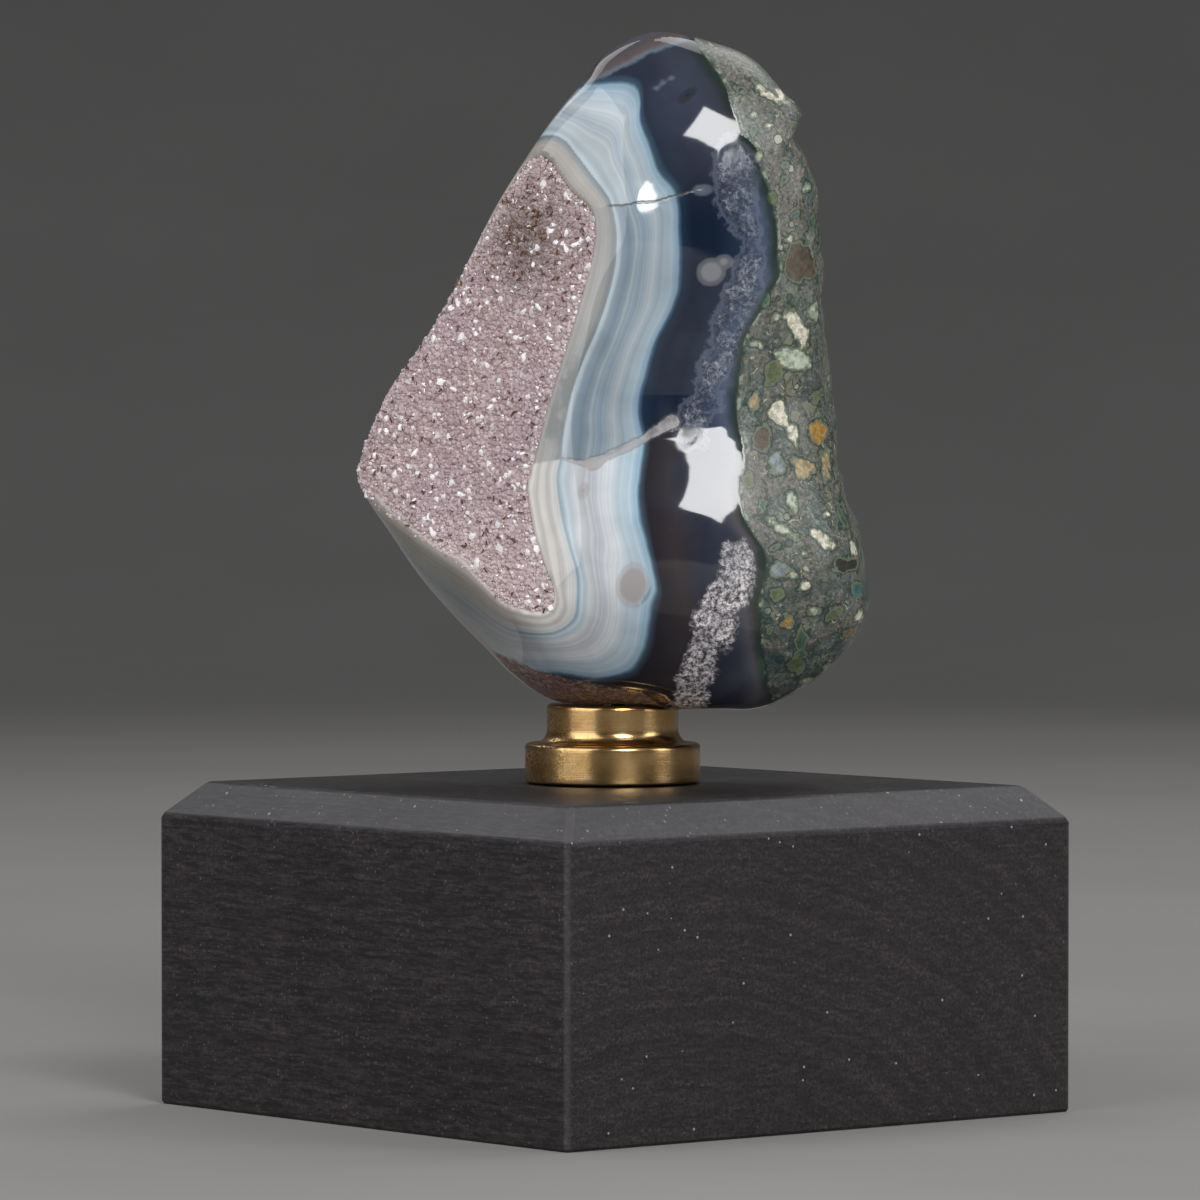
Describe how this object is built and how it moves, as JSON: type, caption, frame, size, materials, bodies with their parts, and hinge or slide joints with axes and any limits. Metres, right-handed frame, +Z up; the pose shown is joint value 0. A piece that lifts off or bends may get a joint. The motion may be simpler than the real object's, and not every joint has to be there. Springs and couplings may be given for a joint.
{
  "type": "agate and amethyst geode on stand",
  "caption": "Ground agate geode with an amethyst crystal hollow, standing on a pin above a turned brass collar and a black chamfered wooden block.",
  "frame": {"origin": "centre of the block's underside, on the plane that the object stands on", "axes": "+Z up along the collar and pin, X and Y along the block's sides; the stone's polished front faces between -X and -Y"},
  "size_m": [0.1016, 0.1016, 0.1685],
  "materials": {
    "black_wood": "matt black paint over fine grain, dusty",
    "brass": "brushed, slightly tarnished",
    "steel": "plain drawn steel",
    "agate": "polished banded agate, white to slate blue, with a dark green-grey basalt rind",
    "amethyst": "small glinting crystals, pale lavender grey with brown specks"
  },
  "bodies": {
    "root": {"wood_base": "black_wood", "brass_collar": "brass", "mounting_pin": "steel", "geode": "agate", "amethyst_crust": "amethyst"}
  },
  "joints": []
}
